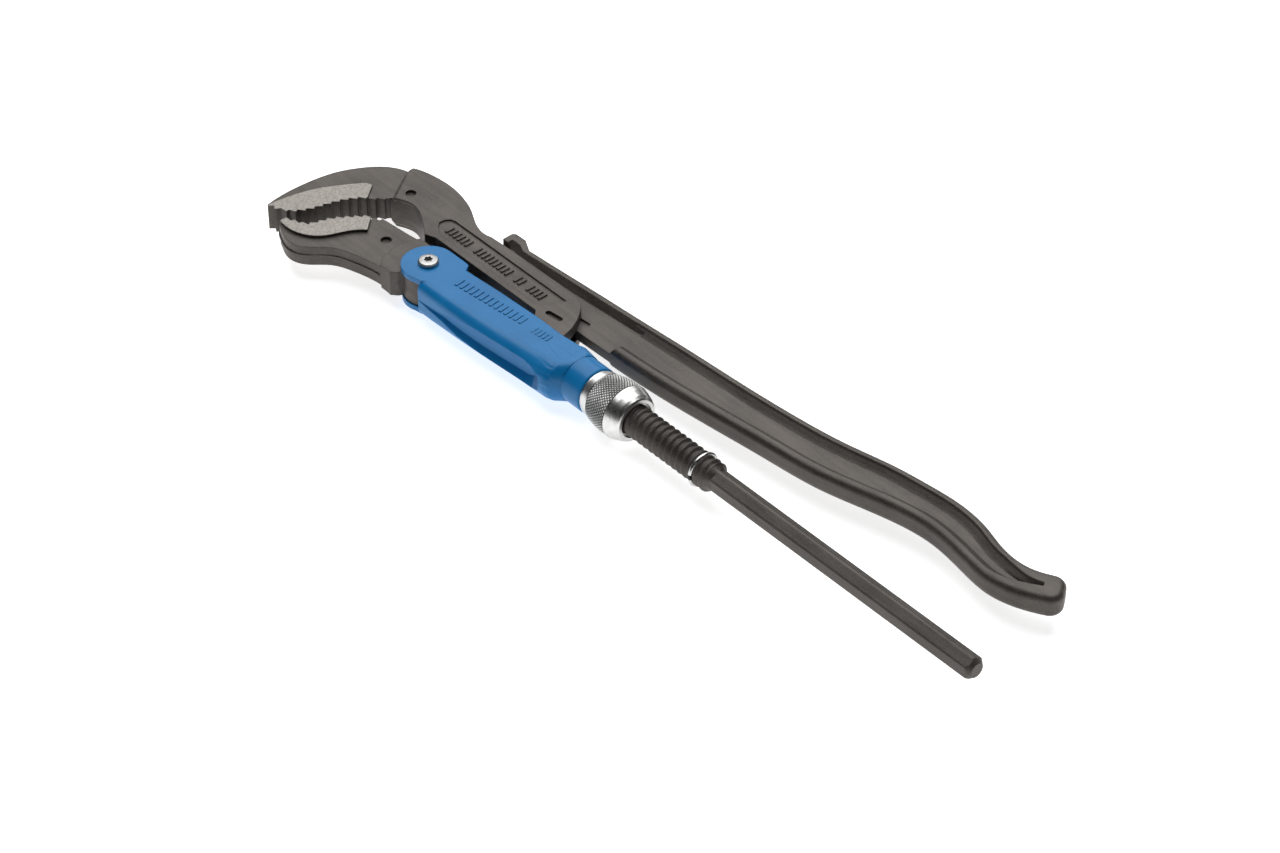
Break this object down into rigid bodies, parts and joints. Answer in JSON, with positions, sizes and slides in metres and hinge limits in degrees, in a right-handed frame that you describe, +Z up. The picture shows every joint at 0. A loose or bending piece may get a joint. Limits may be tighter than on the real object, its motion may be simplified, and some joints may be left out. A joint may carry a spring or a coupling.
{
  "type": "pipe wrench",
  "caption": "Swedish-pattern pipe wrench with toothed S-shaped jaws, a pivoting sleeve, a knurled nut on a threaded leg and a channelled handle.",
  "frame": {"origin": "pivot axis, on the plane the wrench lies on (underside of the pivot barrel's flange)", "axes": "+X along the threaded leg from the jaws to the handle ends, +Y towards the main leg's handle, +Z up, away from the plane it lies on"},
  "size_m": [0.4245, 0.1018, 0.026],
  "materials": {
    "phosphated_steel": "forged, brown-grey phosphated, satin; brighter ground tooth lands",
    "blue_enamel": "gloss enamel",
    "zinc_plated": "bright zinc plated",
    "spring_steel": "bright spring wire"
  },
  "bodies": {
    "main_leg": {"main_leg": "phosphated_steel"},
    "sleeve": {"sleeve": "blue_enamel", "pivot_barrel": "zinc_plated", "pivot_screw": "zinc_plated", "nut_retaining_ring": "spring_steel", "thrust_washer": "zinc_plated"},
    "nut": {"adjusting_nut": "zinc_plated"},
    "threaded_leg": {"threaded_leg": "phosphated_steel", "stop_ring": "spring_steel"}
  },
  "joints": [
    {"name": "sleeve_pivot", "type": "hinge", "parent": "main_leg", "child": "sleeve", "pos_m": [0, 0, 0.0132], "axis": [0, 0, 1], "range_deg": [-14, 3]},
    {"name": "leg_slide", "type": "slide", "parent": "sleeve", "child": "threaded_leg", "axis": [1, 0, 0], "range_m": [-0.043, 0.0015]},
    {"name": "nut_turn", "type": "hinge", "parent": "sleeve", "child": "nut", "pos_m": [0.12, 0.005, 0.0132], "axis": [1, 0, 0], "range_deg": [-151, 4301]}
  ],
  "couplings": [
    {"joint": "nut_turn", "follows": "leg_slide", "rad_per_m": -1745.3}
  ]
}
